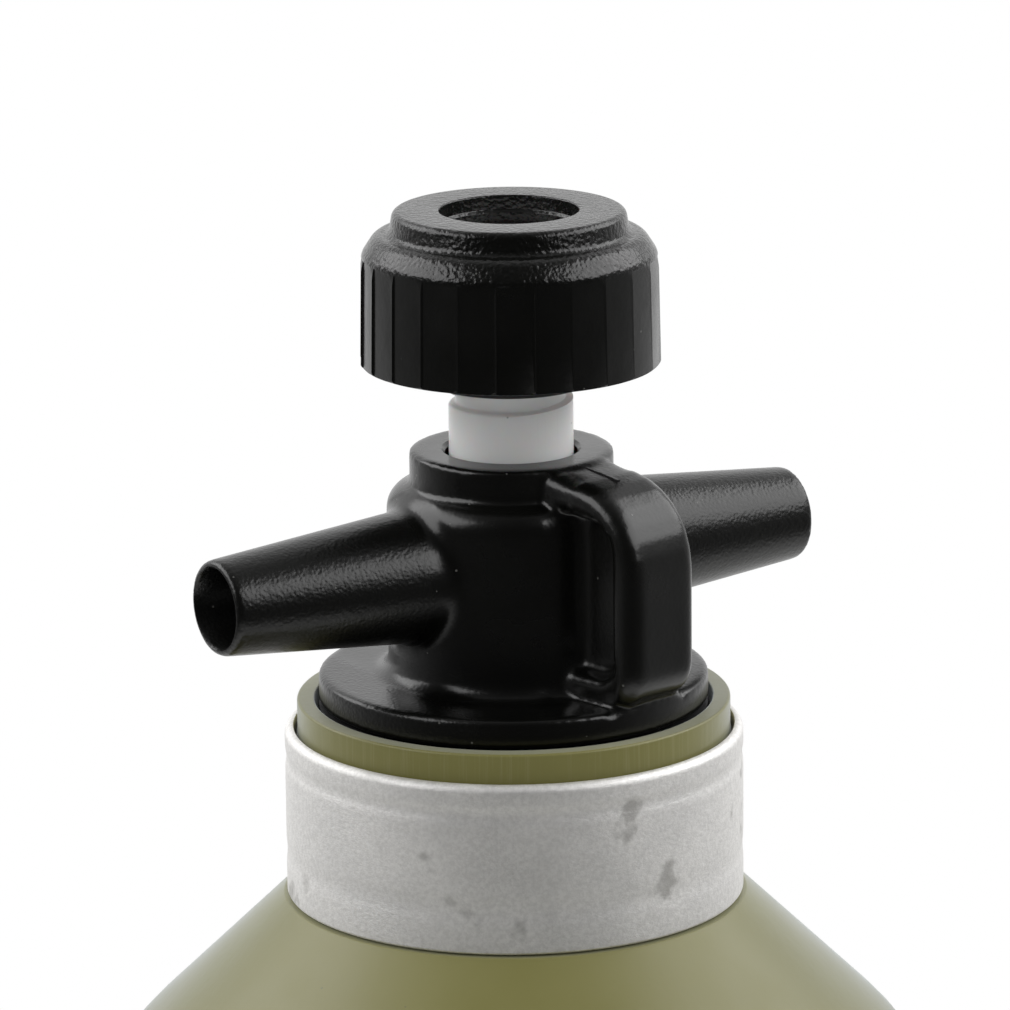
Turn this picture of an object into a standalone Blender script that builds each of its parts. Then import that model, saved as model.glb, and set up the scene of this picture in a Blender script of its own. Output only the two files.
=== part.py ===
"""Half-litre liquid-fuel bottle with a spring-loaded pouring valve.

The bottle stands on z = 0 with its axis on +Z, and the valve's two spouts lie along X.
Lengths in this file are millimetres, and mm() turns them into Blender's metres.
Heights marked "above the mouth" count from the top of the bottle's lip.
"""

import math

import bmesh
import bpy
from mathutils import Matrix

for leftover in list(bpy.data.objects):
    bpy.data.objects.remove(leftover)

# ---------------------------------------------------------------- driving dimensions

MOUTH = 164.1            # height of the bottle's lip above the surface it stands on
GAP = 0.3                # play between pieces that touch on the real object

BOTTLE_RADIUS = 37.0
BOTTLE_WALL = 1.7
HEEL_RADIUS = 4.0
SHOULDER_BEND = 20.0     # radius that joins the sloping shoulder to the upright wall
SHOULDER_LINE = 1.96     # height at which the shoulder's slope would meet the axis
SHOULDER_SLOPE = 0.969   # fall per millimetre of radius
LEDGE_RADIUS = 19.25     # small ledge at the foot of the neck, which the ring stands over
FOOT_RADIUS = 27.0       # inner edge of the flat ring that the bottle stands on
PUSH_UP = 2.2            # hollow under the base
PUSH_UP_RADIUS = 20.0
NECK_RADIUS = 18.0
NECK_BORE = 14.6
LIP_RADIUS = 17.93
RECESS_RADIUS = 16.45    # the lip's inner step, which the gasket lies in
RECESS_DEPTH = 1.7

RING_RADIUS = 19.0
RING_TOP = -2.35         # above the mouth
RING_HEIGHT = 14.2
RING_WALL = 0.75

CAP_PITCH = 3.0          # thread between cap and neck
CAP_TURNS = 3.0
CAP_THREAD_START = -12.4
CAP_CORE = 13.2
CAP_CREST = 14.2
NECK_CREST = 13.6

FLANGE_RADIUS = 16.1
FLANGE_TOP = 2.3
FLANGE_UNDER = -0.2
PLUG_END = -14.5
PLUG_BORE = 11.0
BARREL_RADIUS = 10.3
COLLAR_RADIUS = 8.38
COLLAR_TOP = 21.0
COLLAR_FOOT = 18.2
GUIDE_BORE = 5.45
GLAND_TOP = 17.8         # pocket for the O-ring, open to the chamber below it
GLAND_RADIUS = 7.3
CHAMBER_TOP = 14.9
CHAMBER_RADIUS = 6.8
CHAMBER_FLOOR = 7.6
SEAT_BORE = 5.2
SEAT_CEILING = 0.3
KEYWAY_FOOT = 3.0        # slot above the seat that keeps the stem from turning

SPOUT_HEIGHT = 11.53
SPOUT_REACH = {-1: 28.1, 1: 27.4}
SPOUT_TIP_RADIUS = 3.9
SPOUT_SLOPE = 0.0885     # growth of the spout's radius per millimetre towards the barrel
SPOUT_BORE = 3.25

EAR_TURN = 13.0          # degrees from -Y towards +X
EAR_REACH = 17.5
EAR_HALF = 3.9           # half its thickness
EAR_WEB = 2.1            # half the thickness left between its two pockets
EAR_CORNER = 7.0
EAR_CORNER_HEIGHT = 13.3
EAR_HEEL = 3.4           # rounding of its lower outer corner
EAR_FOOT = 2.1
POCKET_FOOT = 4.6
POCKET_TOP = 17.5
POCKET_INNER = 8.5
POCKET_OUTER = 15.1
POCKET_CORNER = 2.0

STEM_RADIUS = 5.12
STEM_CORE = 4.55
STEM_TOP = 38.75
STEM_PITCH = 2.0
STEM_THREAD_START = 25.2
STEM_THREAD_TURNS = 6.25
STEM_SHANK_END = 14.2
STEM_FOOT = -0.2
SPIGOT_END = -4.3
SPIGOT_RADIUS = 2.0
STEM_ARM_REACH = 4.8
STEM_KEY_REACH = 5.6
PRESS_STROKE = 2.3       # how far the knob and stem can be pressed
HEAD_BORE = 2.35         # hole of the seal and the head, over the stem's spigot
SCREW_RADIUS = 1.15
HEAD_TOP = -2.3
HEAD_UNDER = -3.6

KNOB_TOP = 40.9
KNOB_SKIRT = 28.2
KNOB_LEDGE = 36.9
KNOB_RADIUS = 12.35
KNOB_TOP_RADIUS = 9.75
KNOB_BORE = 5.45
KNOB_CREST = 4.85
KNOB_HUB = 7.7
KNOB_RIBS = 24
RIB_DEPTH = 0.5
RIB_PHASE = 8.0          # degrees from +X to a rib's deep edge

SPRING_MEAN = 6.2
SPRING_WIRE = 0.45       # half the wire's thickness
SPRING_COILS = 5
SPRING_TOP = -4.3
SPRING_FOOT = -13.55

CLIP_GROOVE = -12.4      # height of the groove that the cage's snap ring sits in
CLIP_GROOVE_HALF = 0.6
CAGE_RADIUS = 10.65

ROUND = 40               # sides of a large turned piece
SMALL_ROUND = 24
THREAD_ROUND = 20        # steps in one turn of a thread


def mm(value):
    return value * 0.001


# ---------------------------------------------------------------- materials

def material(name, colour, roughness, metallic=0.0):
    made = bpy.data.materials.new(name)
    made.use_nodes = True
    shader = made.node_tree.nodes["Principled BSDF"]
    shader.inputs["Base Color"].default_value = (*colour, 1.0)
    shader.inputs["Roughness"].default_value = roughness
    shader.inputs["Metallic"].default_value = metallic
    return made


OLIVE = material("olive_polyethylene", (0.21, 0.22, 0.09), 0.5)
ALUMINIUM = material("tumbled_aluminium", (0.72, 0.71, 0.70), 0.45, 1.0)
BLACK = material("black_moulding", (0.012, 0.012, 0.012), 0.35)
WHITE = material("white_acetal", (0.80, 0.80, 0.79), 0.4)
RUBBER = material("black_rubber", (0.02, 0.02, 0.02), 0.7)
STEEL = material("stainless_steel", (0.6, 0.6, 0.6), 0.3, 1.0)


# ---------------------------------------------------------------- modelling helpers

def finish(bm, name, surface, height=0.0, helper=False):
    """Makes an object from a bmesh in millimetres, its origin on the axis at a height above the mouth."""
    bmesh.ops.remove_doubles(bm, verts=bm.verts, dist=1e-4)
    bmesh.ops.dissolve_degenerate(bm, edges=bm.edges, dist=1e-5)
    bmesh.ops.recalc_face_normals(bm, faces=bm.faces)
    bmesh.ops.transform(bm, matrix=Matrix.Translation((0, 0, -height)), verts=bm.verts)
    bmesh.ops.scale(bm, vec=(0.001, 0.001, 0.001), verts=bm.verts)
    mesh = bpy.data.meshes.new(name)
    bm.to_mesh(mesh)
    bm.free()
    mesh.materials.append(surface)
    mesh.shade_smooth()
    mesh.set_sharp_from_angle(angle=math.radians(35))
    made = bpy.data.objects.new(name, mesh)
    made.location.z = mm(MOUTH + height)
    bpy.context.collection.objects.link(made)
    if helper:
        made.hide_render = True
        made.display_type = "WIRE"
    return made


def add_turned(bm, outline, steps):
    """Spins a closed outline of (radius, height) points round the axis."""
    ring = [bm.verts.new((radius, 0, height)) for radius, height in outline]
    edges = [bm.edges.new((ring[i - 1], ring[i])) for i in range(len(ring))
             if outline[i - 1][0] > 0 or outline[i][0] > 0]
    bmesh.ops.spin(bm, geom=ring + edges, cent=(0, 0, 0), axis=(0, 0, 1),
                   angle=math.tau, steps=steps, use_merge=True)


def turned(name, surface, outline, steps=ROUND, height=0.0, helper=False):
    bm = bmesh.new()
    add_turned(bm, outline, steps)
    return finish(bm, name, surface, height, helper)


def arc(centre_radius, centre_height, radius, start, end, steps):
    """Points of an arc in the outline's plane, by angles in degrees from the outward direction."""
    return [(centre_radius + radius * math.cos(math.radians(start + (end - start) * i / steps)),
             centre_height + radius * math.sin(math.radians(start + (end - start) * i / steps)))
            for i in range(steps + 1)]


def thread(name, root, crest, bottom, pitch, turns, base=1.2, tip=0.7):
    """A right-hand helical ridge of trapezoid section, whose root may lie inside or outside its crest."""
    bm = bmesh.new()
    section = [(root, -base / 2), (crest, -tip / 2), (crest, tip / 2), (root, base / 2)]
    previous = None
    for i in range(round(turns * THREAD_ROUND) + 1):
        angle = math.tau * i / THREAD_ROUND
        middle = bottom + pitch * i / THREAD_ROUND
        ring = [bm.verts.new((radius * math.cos(angle), radius * math.sin(angle), middle + offset))
                for radius, offset in section]
        if previous:
            for a in range(4):
                b = (a + 1) % 4
                bm.faces.new((previous[a], previous[b], ring[b], ring[a]))
        else:
            bm.faces.new(ring[::-1])
        previous = ring
    bm.faces.new(previous)
    return finish(bm, name, BLACK, helper=True)


def plate(name, outline, half, turn=0.0, offset=0.0):
    """A helper plate in the plane of (radius, height), half as thick to each side, turned about the axis."""
    bm = bmesh.new()
    face = bm.faces.new([bm.verts.new((radius, -half + offset, level)) for radius, level in outline])
    grown = bmesh.ops.extrude_face_region(bm, geom=[face])
    moved = [item for item in grown["geom"] if isinstance(item, bmesh.types.BMVert)]
    bmesh.ops.translate(bm, vec=(0, 2 * half, 0), verts=moved)
    bmesh.ops.rotate(bm, cent=(0, 0, 0), matrix=Matrix.Rotation(turn, 3, "Z"), verts=bm.verts)
    return finish(bm, name, BLACK, helper=True)


def combine(target, operation, *others):
    for other in others:
        step = target.modifiers.new(f"{operation.lower()} {other.name}", "BOOLEAN")
        step.operation = operation
        step.object = other
        step.solver = "EXACT"


# ---------------------------------------------------------------- bottle

def bottle_body():
    """Blow-moulded bottle: hollow base, straight wall, sloping shoulder, thick neck with a stepped lip."""
    floor = -MOUTH
    wall = BOTTLE_WALL
    bend_radius = BOTTLE_RADIUS - SHOULDER_BEND
    bend_height = SHOULDER_LINE - SHOULDER_SLOPE * bend_radius - SHOULDER_BEND * math.hypot(1, SHOULDER_SLOPE)
    bend_end = 90 - math.degrees(math.atan(SHOULDER_SLOPE))
    heel = floor + HEEL_RADIUS
    heel_centre = BOTTLE_RADIUS - HEEL_RADIUS
    neck_foot = SHOULDER_LINE - SHOULDER_SLOPE * LEDGE_RADIUS
    outline = [(0, floor + PUSH_UP), (PUSH_UP_RADIUS, floor + PUSH_UP - 0.4), (FOOT_RADIUS, floor),
               (heel_centre, floor)]
    outline += arc(heel_centre, heel, HEEL_RADIUS, -60, 0, 2)
    outline += arc(bend_radius, bend_height, SHOULDER_BEND, 0, bend_end, 3)
    outline += [(LEDGE_RADIUS, neck_foot), (NECK_RADIUS, neck_foot + 0.02), (NECK_RADIUS, RING_TOP),
                (LIP_RADIUS, RING_TOP + 0.2), (LIP_RADIUS, -0.2), (LIP_RADIUS - 0.2, 0), (RECESS_RADIUS, 0),
                (RECESS_RADIUS, -RECESS_DEPTH), (NECK_BORE, -RECESS_DEPTH), (NECK_BORE, neck_foot + 0.9)]
    outline += arc(bend_radius, bend_height, SHOULDER_BEND - wall, bend_end, 0, 3)
    outline += arc(heel_centre, heel, HEEL_RADIUS - wall, 0, -60, 2)
    outline += [(heel_centre, floor + wall), (FOOT_RADIUS + 0.4, floor + wall),
                (PUSH_UP_RADIUS, floor + PUSH_UP + wall - 0.3), (0, floor + PUSH_UP + wall + 0.1)]
    made = turned("bottle_body", OLIVE, outline)
    ridge = thread("neck_thread_tool", NECK_BORE + 0.6, NECK_CREST, CAP_THREAD_START, CAP_PITCH, CAP_TURNS)
    combine(made, "UNION", ridge)


def neck_ring():
    """Aluminium ring pressed over the neck, with rolled edges."""
    foot = RING_TOP - RING_HEIGHT
    bore = RING_RADIUS - RING_WALL
    outline = [(bore, foot + 0.15), (RING_RADIUS - 0.3, foot), (RING_RADIUS, foot + 0.3),
               (RING_RADIUS, RING_TOP - 0.55), (RING_RADIUS - 0.2, RING_TOP - 0.15),
               (RING_RADIUS - 0.55, RING_TOP), (bore, RING_TOP - 0.1)]
    turned("neck_ring", ALUMINIUM, outline)


def cap_gasket():
    """Flat rubber ring between the flange and the lip's step."""
    inner = CAP_CORE + 0.5
    outer = RECESS_RADIUS - GAP
    top = FLANGE_UNDER - GAP
    foot = GAP - RECESS_DEPTH
    turned("cap_gasket", RUBBER, [(inner, foot), (outer, foot), (outer, top), (inner, top)])


# ---------------------------------------------------------------- valve body

def spout(side):
    """Tapered pouring spout, and the bore through it into the chamber."""
    reach = SPOUT_REACH[side]
    along = Matrix.Translation((0, 0, SPOUT_HEIGHT)) @ Matrix.Rotation(side * math.pi / 2, 4, "Y")
    rim = 0.35
    root = 4.0
    root_radius = SPOUT_TIP_RADIUS + SPOUT_SLOPE * (reach - rim - root)
    cone = [(0, root), (root_radius, root), (SPOUT_TIP_RADIUS, reach - rim), (SPOUT_TIP_RADIUS - rim, reach),
            (0, reach)]
    bore = [(0, root - 1), (SPOUT_BORE + 0.35, root - 1), (SPOUT_BORE, reach + 2), (0, reach + 2)]
    shapes = []
    for label, outline in (("spout_tool", cone), ("spout_bore_tool", bore)):
        bm = bmesh.new()
        add_turned(bm, outline, SMALL_ROUND)
        bmesh.ops.transform(bm, matrix=along, verts=bm.verts)
        shapes.append(finish(bm, f"{label}_{'left' if side < 0 else 'right'}", BLACK, helper=True))
    return shapes


def ear():
    """Grip ear on the barrel: a thick rounded plate on the flange, cored from both sides."""
    turn = math.radians(EAR_TURN - 90)
    root = 3.5
    outline = [(root, EAR_FOOT)]
    outline += arc(EAR_REACH - EAR_HEEL, EAR_FOOT + EAR_HEEL, EAR_HEEL, -90, 0, 3)
    outline += arc(EAR_REACH - EAR_CORNER, EAR_CORNER_HEIGHT, EAR_CORNER, 0, 83, 5)
    outline += [(COLLAR_RADIUS - 0.6, COLLAR_TOP - 0.2), (root, COLLAR_TOP - 0.2)]
    slab = plate("ear_tool", outline, EAR_HALF, turn=turn)
    rounding = slab.modifiers.new("soft edges", "BEVEL")
    rounding.width = mm(1.6)
    rounding.segments = 3
    rounding.limit_method = "ANGLE"
    rounding.angle_limit = math.radians(50)
    corner = POCKET_OUTER - POCKET_CORNER
    pocket = [(POCKET_INNER, POCKET_FOOT), (corner, POCKET_FOOT)]
    pocket += arc(corner, POCKET_FOOT + POCKET_CORNER, POCKET_CORNER, -90, 0, 3)
    pocket += arc(corner, POCKET_TOP - POCKET_CORNER, POCKET_CORNER, 0, 90, 3) + [(POCKET_INNER, POCKET_TOP)]
    depth = EAR_HALF - EAR_WEB
    cutters = [plate(f"ear_pocket_tool_{label}", pocket, depth, turn=turn, offset=side * (EAR_WEB + depth))
               for label, side in (("front", -1), ("back", 1))]
    combine(slab, "DIFFERENCE", *cutters)
    return slab


def valve_body():
    """One black moulding: threaded plug, flange, barrel, collar, two spouts and the ear."""
    fillet = 1.3
    shoulder = 3.1
    step = 0.3
    chamfer = 0.25
    outline = [(0, PLUG_END), (CAP_CORE - 0.4, PLUG_END), (CAP_CORE, PLUG_END + 0.4), (CAP_CORE, FLANGE_UNDER),
               (FLANGE_RADIUS, FLANGE_UNDER), (FLANGE_RADIUS, FLANGE_TOP - chamfer),
               (FLANGE_RADIUS - chamfer, FLANGE_TOP), (BARREL_RADIUS + fillet, FLANGE_TOP)]
    outline += arc(BARREL_RADIUS + fillet, FLANGE_TOP + fillet, fillet, 240, 180, 2)
    outline += arc(BARREL_RADIUS - shoulder, COLLAR_FOOT - 2.9, shoulder, 0, 62, 5)
    outline += arc(COLLAR_RADIUS + step, COLLAR_FOOT + step - 0.1, step, 240, 180, 2)
    outline += [(COLLAR_RADIUS, COLLAR_TOP - 0.3), (COLLAR_RADIUS - 0.3, COLLAR_TOP), (0, COLLAR_TOP)]
    made = turned("valve_body", BLACK, outline)
    left, left_bore = spout(-1)
    right, right_bore = spout(1)
    # The neck's ridge starts half a pitch away, so the two threads are in mesh at rest.
    ridge = thread("cap_thread_tool", CAP_CORE - 0.5, CAP_CREST, CAP_THREAD_START + CAP_PITCH / 2, CAP_PITCH,
                   CAP_TURNS - 0.5)
    combine(made, "UNION", left, right, ear(), ridge)
    groove_low, groove_high = CLIP_GROOVE - CLIP_GROOVE_HALF, CLIP_GROOVE + CLIP_GROOVE_HALF
    groove_radius = PLUG_BORE + 0.65
    below, lip = PLUG_END - 1, 0.5
    hollow = [(0, below), (PLUG_BORE, below), (PLUG_BORE, groove_low), (groove_radius, groove_low),
              (groove_radius, groove_high), (PLUG_BORE, groove_high), (PLUG_BORE, SEAT_CEILING),
              (SEAT_BORE + 1.1, SEAT_CEILING), (SEAT_BORE + 0.8, SEAT_CEILING - lip),
              (SEAT_BORE, SEAT_CEILING - lip), (SEAT_BORE, CHAMBER_FLOOR), (CHAMBER_RADIUS, CHAMBER_FLOOR),
              (CHAMBER_RADIUS, CHAMBER_TOP), (GLAND_RADIUS, CHAMBER_TOP), (GLAND_RADIUS, GLAND_TOP),
              (GUIDE_BORE, GLAND_TOP), (GUIDE_BORE, COLLAR_TOP + 1), (0, COLLAR_TOP + 1)]
    inside = turned("valve_hollow_tool", BLACK, hollow, helper=True)
    slot = [(4, KEYWAY_FOOT), (6, KEYWAY_FOOT), (6, CHAMBER_FLOOR + 1), (4, CHAMBER_FLOOR + 1)]
    keyway = plate("keyway_tool", slot, 1.1, turn=math.pi / 2)
    combine(inside, "UNION", keyway, left_bore, right_bore)
    combine(made, "DIFFERENCE", inside)


# ---------------------------------------------------------------- stem and what moves with it

def valve_stem():
    """White stem: threaded top, sealing shank, and a cross-shaped foot whose front arm runs in the keyway."""
    shoulder = STEM_THREAD_START - 0.9
    inside = STEM_SHANK_END + 1
    outline = [(0, STEM_SHANK_END), (STEM_RADIUS, STEM_SHANK_END), (STEM_RADIUS, shoulder),
               (STEM_CORE, shoulder + 0.5), (STEM_CORE, STEM_TOP - 0.4), (STEM_CORE - 0.4, STEM_TOP),
               (0, STEM_TOP)]
    made = turned("valve_stem", WHITE, outline, SMALL_ROUND)
    ridge = thread("stem_thread_tool", STEM_CORE - 0.4, STEM_RADIUS, STEM_THREAD_START, STEM_PITCH,
                   STEM_THREAD_TURNS, base=1.0, tip=0.45)
    arm = 0.8
    arms = [(-STEM_ARM_REACH, STEM_FOOT), (STEM_ARM_REACH, STEM_FOOT), (STEM_ARM_REACH, inside),
            (-STEM_ARM_REACH, inside)]
    across = plate("stem_arms_tool", arms, arm)
    key_foot = KEYWAY_FOOT + PRESS_STROKE + GAP
    key = [(-STEM_ARM_REACH, STEM_FOOT), (STEM_ARM_REACH, STEM_FOOT), (STEM_ARM_REACH, key_foot),
           (STEM_KEY_REACH, key_foot), (STEM_KEY_REACH, key_foot + 3.2), (STEM_ARM_REACH, key_foot + 4.0),
           (STEM_ARM_REACH, inside), (-STEM_ARM_REACH, inside)]
    along = plate("stem_key_tool", key, arm, turn=math.pi / 2)
    middle = [(0, SPIGOT_END), (SPIGOT_RADIUS, SPIGOT_END), (SPIGOT_RADIUS, STEM_FOOT), (2.6, STEM_FOOT),
              (2.6, inside), (0, inside)]
    core = turned("stem_core_tool", WHITE, middle, SMALL_ROUND, helper=True)
    hole = [(0, SPIGOT_END - 1), (SCREW_RADIUS + GAP, SPIGOT_END - 1), (SCREW_RADIUS + GAP, 6), (0, 7)]
    pilot = turned("stem_pilot_tool", WHITE, hole, SMALL_ROUND, helper=True)
    combine(made, "UNION", ridge, across, along, core)
    combine(made, "DIFFERENCE", pilot)


def o_ring():
    """Stem seal, held in the pocket under the collar."""
    section = 0.85
    middle = (STEM_RADIUS + GLAND_RADIUS) / 2 + 0.11
    turned("stem_o_ring", RUBBER, arc(middle, GLAND_TOP - 0.1 - section, section, 0, 300, 5), SMALL_ROUND)


def washer(name, surface, inner, outer, foot, top):
    """Flat ring of square section."""
    turned(name, surface, [(inner, foot), (outer, foot), (outer, top), (inner, top)], SMALL_ROUND)


def seat_seal():
    """Rubber washer that closes on the seat's lip."""
    outer, top, foot = 7.4, -0.5, HEAD_TOP + GAP
    outline = [(HEAD_BORE, foot), (outer, foot), (outer, top - 0.4), (outer - 0.4, top), (HEAD_BORE, top)]
    turned("seat_seal", RUBBER, outline, SMALL_ROUND)


def valve_head():
    """Plastic disc under the seal, with a collar underneath that centres the spring."""
    disc, collar, pocket = 7.8, 5.2, 4.6
    collar_foot = HEAD_UNDER - 1.5
    outline = [(HEAD_BORE, SPIGOT_END), (pocket, SPIGOT_END), (pocket, collar_foot), (collar, collar_foot),
               (collar, HEAD_UNDER), (disc, HEAD_UNDER), (disc, HEAD_TOP), (HEAD_BORE, HEAD_TOP)]
    turned("valve_head", WHITE, outline, SMALL_ROUND)


def head_screw():
    """Pan-head screw with a cross recess, driven up into the stem."""
    under_head, head, end = -5.5, 3.1, 4.4
    outline = [(0, end), (0.5, end), (SCREW_RADIUS, end - 1), (SCREW_RADIUS, under_head), (head, under_head),
               (head, under_head - 1.1), (head - 0.7, under_head - 2.0), (0, under_head - 2.2)]
    made = turned("head_screw", STEEL, outline[::-1], SMALL_ROUND)
    recess_foot, recess_floor = under_head - 2.7, under_head - 1.2
    recess = [(-1.6, recess_foot), (1.6, recess_foot), (0.9, recess_floor), (-0.9, recess_floor)]
    for label, turn in (("across", 0.0), ("along", math.pi / 2)):
        combine(made, "DIFFERENCE", plate(f"screw_recess_tool_{label}", recess, 0.28, turn=turn))


def return_spring():
    """Compression spring between head and cage, its end coils closed."""
    turns = SPRING_COILS + 1.5
    count = round(turns * 14)
    closed_share = 0.75 / turns
    closed_rise = (2 * SPRING_WIRE + 0.12) * 0.75
    full_rise = SPRING_TOP - SPRING_FOOT - 2 * SPRING_WIRE
    curve = bpy.data.curves.new("return_spring", "CURVE")
    curve.dimensions = "3D"
    curve.bevel_depth = mm(SPRING_WIRE)
    curve.bevel_resolution = 1
    curve.use_fill_caps = True
    line = curve.splines.new("POLY")
    line.points.add(count)
    for i, point in enumerate(line.points):
        share = i / count
        angle = math.tau * turns * share
        if share < closed_share:
            rise = closed_rise * share / closed_share
        elif share > 1 - closed_share:
            rise = full_rise - closed_rise * (1 - share) / closed_share
        else:
            open_share = (share - closed_share) / (1 - 2 * closed_share)
            rise = closed_rise + (full_rise - 2 * closed_rise) * open_share
        point.co = (mm(SPRING_MEAN * math.cos(angle)), mm(SPRING_MEAN * math.sin(angle)),
                    mm(SPRING_FOOT + SPRING_WIRE + rise), 1)
    curve.materials.append(STEEL)
    made = bpy.data.objects.new("return_spring", curve)
    made.location.z = mm(MOUTH)
    bpy.context.collection.objects.link(made)


def valve_cage():
    """Plastic cup snapped into the plug: four windows in its wall and a hole in its floor let the fuel in."""
    hole, rim, bore = 3.4, 12.8, 9.3
    rim_foot, rim_top, floor_top, wall_top = -15.9, -14.8, -14.7, -1.2
    groove_low, groove_high = CLIP_GROOVE - CLIP_GROOVE_HALF, CLIP_GROOVE + CLIP_GROOVE_HALF
    groove_radius = CAGE_RADIUS - 0.65
    outline = [(hole, rim_foot), (rim, rim_foot), (rim, rim_top), (CAGE_RADIUS, rim_top),
               (CAGE_RADIUS, groove_low), (groove_radius, groove_low), (groove_radius, groove_high),
               (CAGE_RADIUS, groove_high),
               (CAGE_RADIUS, wall_top), (bore, wall_top), (bore, floor_top), (hole, floor_top)]
    made = turned("valve_cage", WHITE, outline)
    window = [(-14, -10.6), (14, -10.6), (14, -3.4), (-14, -3.4)]
    for i in range(2):
        opening = plate(f"cage_window_tool_{i}", window, 3.6, turn=math.pi / 4 + i * math.pi / 2)
        combine(made, "DIFFERENCE", opening)


def cage_clip():
    """Split snap ring that sits half in the plug's groove and half in the cage's."""
    low, high = CLIP_GROOVE - GAP, CLIP_GROOVE + GAP
    inner, outer = CAGE_RADIUS - 0.35, PLUG_BORE + 0.35
    made = turned("cage_clip", STEEL, [(inner, low), (outer, low), (outer, high), (inner, high)], SMALL_ROUND)
    slot = [(9, low - 1), (13, low - 1), (13, high + 1), (9, high + 1)]
    combine(made, "DIFFERENCE", plate("clip_split_tool", slot, 1.2, turn=math.pi * 0.8))


# ---------------------------------------------------------------- knob

def rib_cutter():
    """Ring whose saw-tooth inside leaves flat facets on the knob, each deepest at one edge."""
    bm = bmesh.new()
    step = math.tau / KNOB_RIBS
    phase = math.radians(RIB_PHASE)
    outside = KNOB_RADIUS + 2.65
    loops = []
    for level, radius in ((KNOB_SKIRT - 1, KNOB_RADIUS + 0.03), (KNOB_LEDGE, KNOB_RADIUS - 0.12)):
        inner, outer = [], []
        for i in range(KNOB_RIBS):
            for share, reach in ((i, radius - RIB_DEPTH), (i + 0.985, radius + 0.02)):
                angle = phase + share * step
                inner.append(bm.verts.new((reach * math.cos(angle), reach * math.sin(angle), level)))
                outer.append(bm.verts.new((outside * math.cos(angle), outside * math.sin(angle), level)))
        loops.append((inner, outer))
    (inner_low, outer_low), (inner_high, outer_high) = loops
    count = len(inner_low)
    for a in range(count):
        b = (a + 1) % count
        bm.faces.new((inner_low[a], inner_low[b], inner_high[b], inner_high[a]))
        bm.faces.new((outer_low[a], outer_low[b], outer_high[b], outer_high[a]))
        bm.faces.new((inner_low[a], inner_low[b], outer_low[b], outer_low[a]))
        bm.faces.new((inner_high[a], inner_high[b], outer_high[b], outer_high[a]))
    return finish(bm, "rib_tool", BLACK, helper=True)


def knob():
    """Ribbed nut on the stem: hub, cored underside, skirt with flat facets, waisted top with an open centre."""
    ceiling = KNOB_TOP - 3.6
    mouth_radius = 5.7
    outline = [(KNOB_BORE, KNOB_SKIRT), (KNOB_HUB, KNOB_SKIRT), (KNOB_HUB, ceiling), (10.4, ceiling),
               (10.7, KNOB_SKIRT), (KNOB_RADIUS - 0.2, KNOB_SKIRT), (KNOB_RADIUS, KNOB_SKIRT + 0.3),
               (KNOB_RADIUS - 0.25, KNOB_LEDGE + 0.05)]
    outline += arc(KNOB_RADIUS - 1.75, KNOB_LEDGE + 0.55, 1.4, 10, 80, 4)
    outline += [(10.25, KNOB_LEDGE + 2.05), (KNOB_TOP_RADIUS + 0.15, KNOB_LEDGE + 2.25),
                (KNOB_TOP_RADIUS - 0.1, KNOB_TOP - 1.4), (KNOB_TOP_RADIUS - 0.25, KNOB_TOP - 0.35),
                (KNOB_TOP_RADIUS - 0.75, KNOB_TOP),
                (mouth_radius, KNOB_TOP), (mouth_radius, KNOB_TOP - 1.0), (KNOB_BORE, KNOB_TOP - 1.2)]
    made = turned("knob", BLACK, outline)
    # Two and a half pitches up the stem's ridge, so the threads are in mesh at rest.
    first = STEM_THREAD_START + STEM_PITCH * 2.5
    ridge = thread("knob_thread_tool", KNOB_BORE + 0.4, KNOB_CREST, first, STEM_PITCH, 4.0, base=1.0, tip=0.45)
    combine(made, "DIFFERENCE", rib_cutter())
    combine(made, "UNION", ridge)


def knob_seal():
    """Rubber ring under the hub, which meets the collar when the knob is screwed down."""
    inner, foot, top = 5.5, 26.6, KNOB_SKIRT - GAP
    outline = [(inner, foot), (6.5, foot), (7.0, foot + 0.5), (7.05, top), (inner, top)]
    turned("knob_seal", RUBBER, outline, SMALL_ROUND)


bottle_body()
neck_ring()
cap_gasket()
valve_body()
valve_stem()
o_ring()
washer("gland_ring", WHITE, STEM_RADIUS + 0.35, GLAND_RADIUS - 0.25, 15.1, 15.7)
seat_seal()
valve_head()
washer("seal_washer", STEEL, 1.6, 4.2, -5.2, -4.6)
head_screw()
return_spring()
washer("spring_seat", STEEL, 4.6, 7.6, -14.4, -13.85)
valve_cage()
cage_clip()
knob()
knob_seal()
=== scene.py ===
"""Looks of the liquid-fuel bottle and its pouring valve, put together from the bottle upwards.

Pieces are modelled in millimetres, with heights above the bottle's mouth, and settle() turns a
finished piece into metres and stands it in its place.
"""

import math

import bpy
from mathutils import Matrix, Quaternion, Vector


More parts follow.
